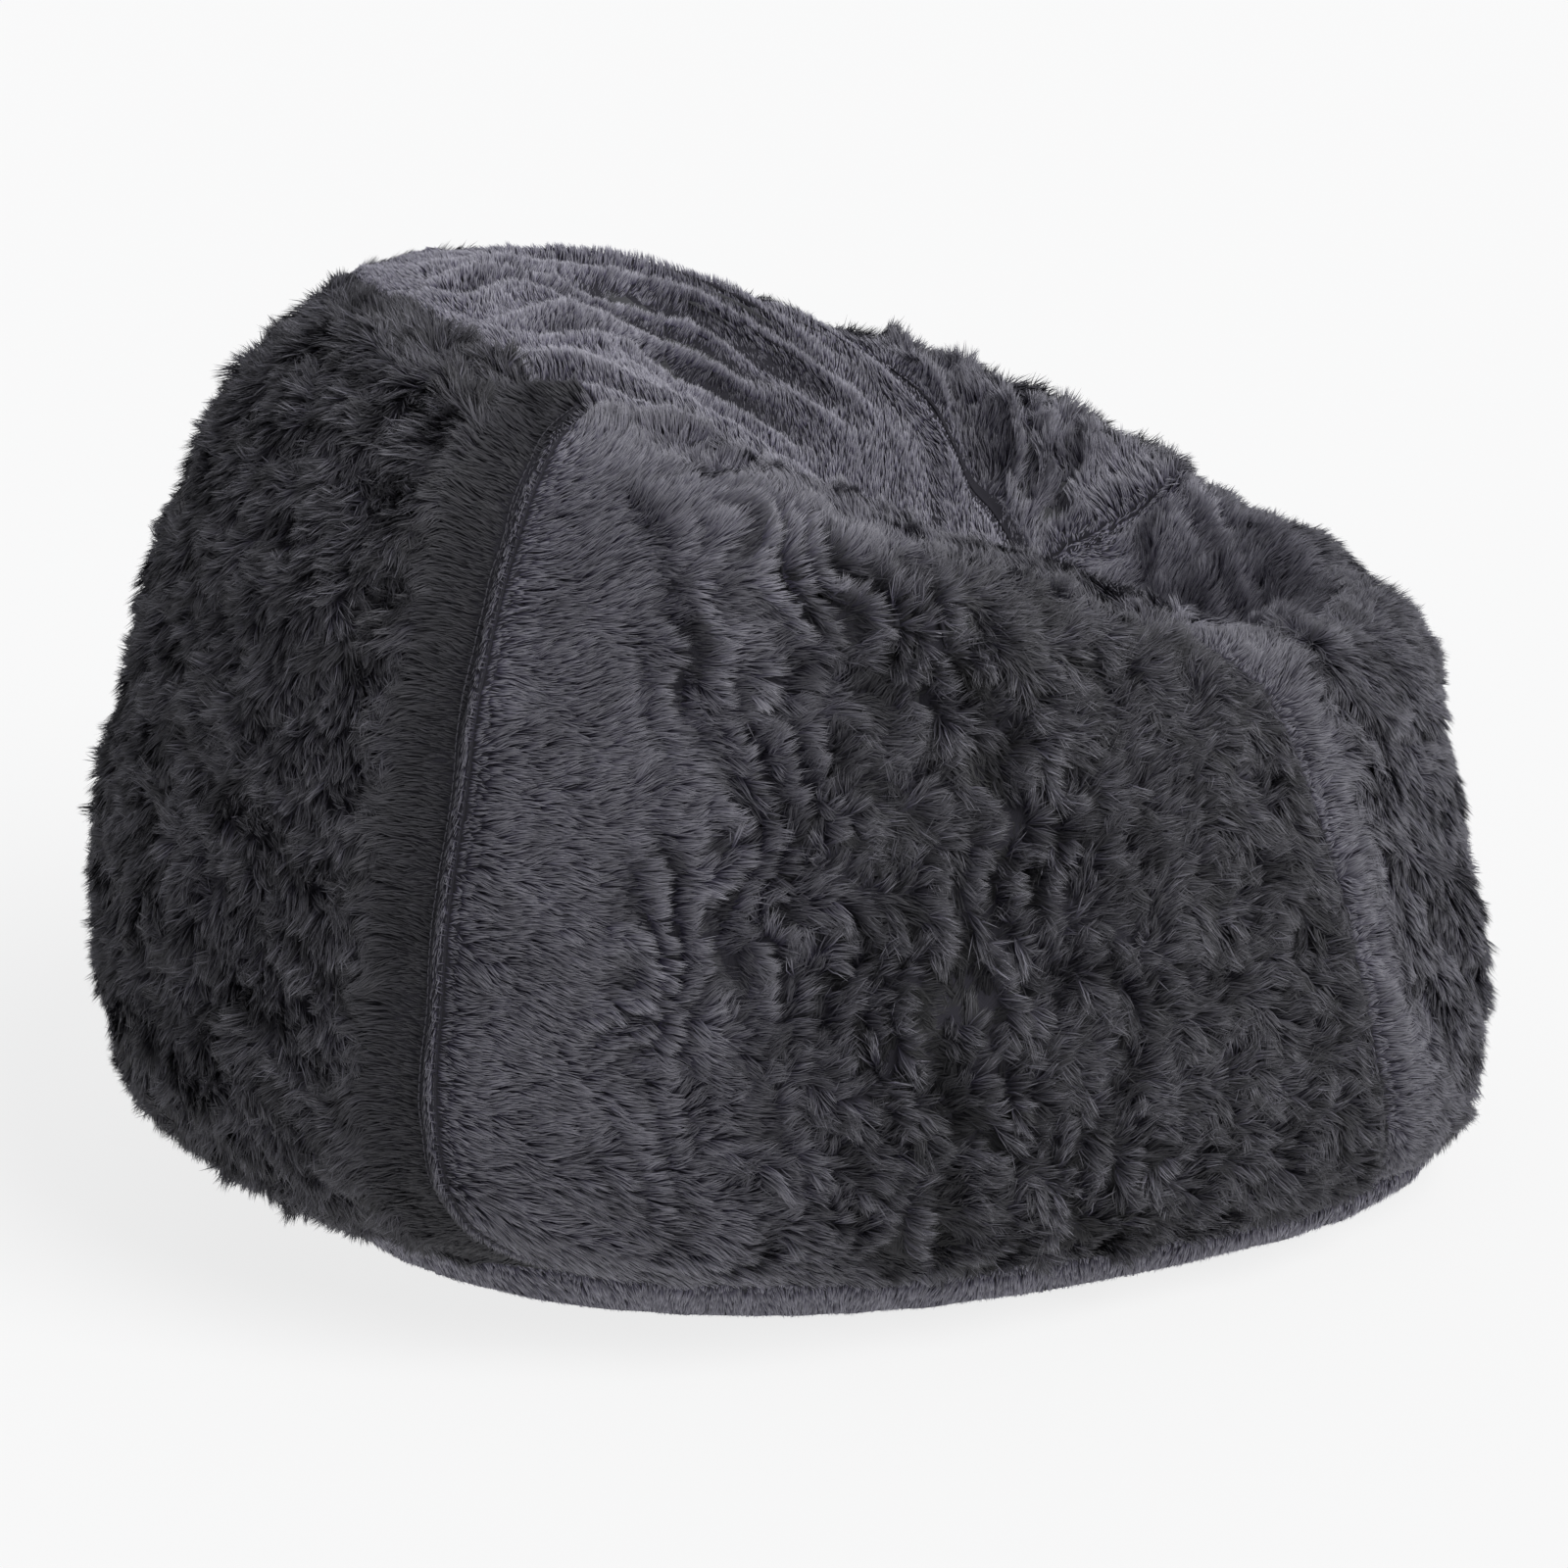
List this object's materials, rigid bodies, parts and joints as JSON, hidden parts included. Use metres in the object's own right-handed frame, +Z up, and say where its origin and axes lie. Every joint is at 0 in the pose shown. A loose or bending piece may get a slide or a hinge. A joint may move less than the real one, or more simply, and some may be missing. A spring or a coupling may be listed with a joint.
{
  "type": "bean bag chair",
  "caption": "Slouched bean bag chair with a raised back and a seat hollow, sewn from long-pile faux fur over a bead-filled liner, with a zip under the base.",
  "frame": {"origin": "on the floor, under the middle of the chair's outline", "axes": "+Z up, -Y the way the sitter faces, +X towards the sitter's left"},
  "size_m": [0.7892, 0.9753, 0.6519],
  "materials": {
    "fur_pile": "matte",
    "thread": "satin",
    "base_cloth": "matte",
    "liner_cloth": "matte",
    "zip_tape": "matte",
    "zip_coil": "satin",
    "zip_metal": "satin",
    "beads": "matte",
    "label": "satin"
  },
  "bodies": {
    "chair": {"back_left_topstitch": "thread", "back_panel": "fur_pile", "back_right_topstitch": "thread", "band_topstitch": "thread", "base_band_left": "fur_pile", "base_band_right": "fur_pile", "base_panel_left": "base_cloth", "base_panel_right": "base_cloth", "bead_filling": "beads", "care_label": "label", "front_left_topstitch": "thread", "front_panel": "fur_pile", "front_right_topstitch": "thread", "left_side_panel": "fur_pile", "liner_back_panel": "liner_cloth", "liner_band_left": "liner_cloth", "liner_band_right": "liner_cloth", "liner_base_left": "liner_cloth", "liner_base_right": "liner_cloth", "liner_front_panel": "liner_cloth", "liner_left_panel": "liner_cloth", "liner_right_panel": "liner_cloth", "liner_seat_panel": "liner_cloth", "liner_zip_bottom_stop": "zip_metal", "liner_zip_coil_left": "zip_coil", "liner_zip_coil_right": "zip_coil", "liner_zip_tape_left": "zip_tape", "liner_zip_tape_right": "zip_tape", "liner_zip_top_stops": "zip_metal", "right_side_panel": "fur_pile", "seat_panel": "fur_pile", "seat_topstitch": "thread", "zip_bottom_stop": "zip_metal", "zip_coil_left": "zip_coil", "zip_coil_right": "zip_coil", "zip_tape_left": "zip_tape", "zip_tape_right": "zip_tape", "zip_top_stops": "zip_metal", "zip_topstitch": "thread"},
    "zip_slider": {"zip_slider": "zip_metal"},
    "zip_pull": {"zip_pull_tab": "zip_metal"},
    "liner_slider": {"liner_zip_slider": "zip_metal"}
  },
  "joints": [
    {"name": "zip_slide", "type": "slide", "parent": "chair", "child": "zip_slider", "axis": [0, 1, 0], "range_m": [0, 0.52]},
    {"name": "pull_tab_swing", "type": "hinge", "parent": "zip_slider", "child": "zip_pull", "pos_m": [0, -0.315, 0.00705], "axis": [-1, 0, 0], "range_deg": [0, 180]},
    {"name": "liner_zip_slide", "type": "slide", "parent": "chair", "child": "liner_slider", "axis": [0, 1, 0], "range_m": [0, 0.385]}
  ]
}
